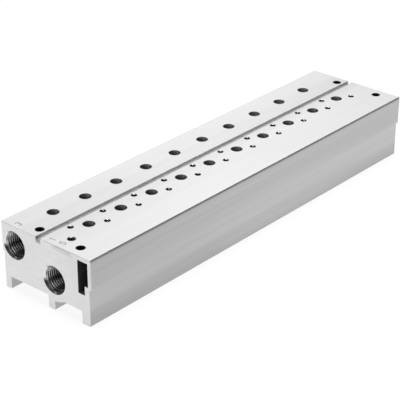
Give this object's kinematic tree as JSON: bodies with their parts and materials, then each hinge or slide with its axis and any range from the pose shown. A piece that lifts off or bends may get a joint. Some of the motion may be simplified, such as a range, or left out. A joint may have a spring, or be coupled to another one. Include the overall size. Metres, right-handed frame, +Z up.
{
  "type": "valve manifold base",
  "caption": "Long aluminium valve manifold base with a flat top of ports and tapped screw holes, threaded end ports, a hollow duct and feet along the underside.",
  "frame": {"origin": "under the centre of the bar, at the level of its feet", "axes": "+X along the bar towards the far end of the picture, +Y across it towards the back row of ports, +Z up"},
  "size_m": [0.2486, 0.0598, 0.0358],
  "materials": {
    "aluminium": "natural anodised, satin, with fine streaks along the bar"
  },
  "bodies": {
    "root": {"manifold_block": "aluminium"}
  },
  "joints": []
}
